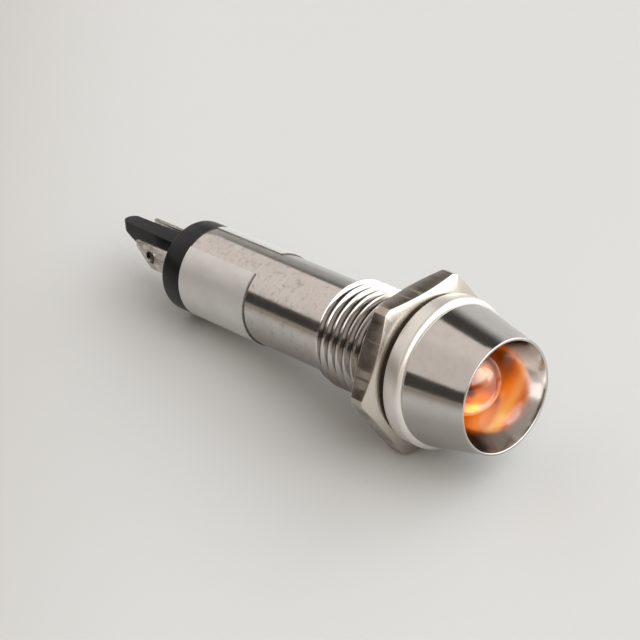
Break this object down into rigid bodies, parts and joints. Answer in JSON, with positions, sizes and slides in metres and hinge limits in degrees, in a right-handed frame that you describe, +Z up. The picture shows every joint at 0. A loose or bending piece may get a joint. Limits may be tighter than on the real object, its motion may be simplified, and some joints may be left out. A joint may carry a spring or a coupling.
{
  "type": "panel pilot light",
  "caption": "Panel-mounted LED pilot light with a conical metal bezel, threaded neck with hex nut, tube body and rear solder lugs.",
  "frame": {"origin": "centre of the flange's seat, the face that meets the front of the panel, on the lamp's axis", "axes": "+X along the lamp's axis towards the lens, +Z up; the fin's plane is XZ and the nut's lower flat is turned 4.5 degrees from level"},
  "size_m": [0.0404, 0.013, 0.012],
  "materials": {
    "nickel_plate": "bright nickel plate on turned brass",
    "nut_plate": "nickel plate on a machined brass hexagon",
    "label_foil": "satin silver label film, left blank",
    "plug_plastic": "moulded black nylon, fine satin",
    "tinned_lug": "tin plate on stamped brass strip",
    "orange_resin": "cast epoxy, diffused orange",
    "lead_steel": "silver plate on stamped steel",
    "chip": "sawn semiconductor chip",
    "gold_wire": "fine gold wire",
    "clear_potting": "clear cast resin",
    "ceramic_rod": "fired ceramic rod",
    "cap_steel": "tinned pressed steel",
    "resistor_lacquer": "dipped lacquer",
    "lead_copper": "tinned copper wire",
    "black_sleeve": "shrunk polyolefin tube",
    "white_sleeve": "extruded plastic tube",
    "solder": "soft solder, bright"
  },
  "bodies": {
    "lamp": {"shell": "nickel_plate", "label_wrap": "label_foil", "rear_plug": "plug_plastic", "lug_near": "tinned_lug", "lug_far": "tinned_lug", "led_lens": "orange_resin", "led_anode_frame": "lead_steel", "led_cathode_frame": "lead_steel", "led_die": "chip", "led_bond_wire": "gold_wire", "led_potting": "clear_potting", "resistor_core": "ceramic_rod", "resistor_cap_front": "cap_steel", "resistor_cap_rear": "cap_steel", "resistor_coat": "resistor_lacquer", "resistor_lead_front": "lead_copper", "resistor_lead_rear": "lead_copper", "anode_sleeve": "black_sleeve", "cathode_sleeve": "white_sleeve", "anode_solder": "solder", "lug_far_solder": "solder", "lug_near_solder": "solder"},
    "nut": {"mounting_nut": "nut_plate"}
  },
  "joints": [
    {"name": "nut_travel", "type": "slide", "parent": "lamp", "child": "nut", "axis": [1, 0, 0], "range_m": [-0.0236, 0.00045]}
  ]
}
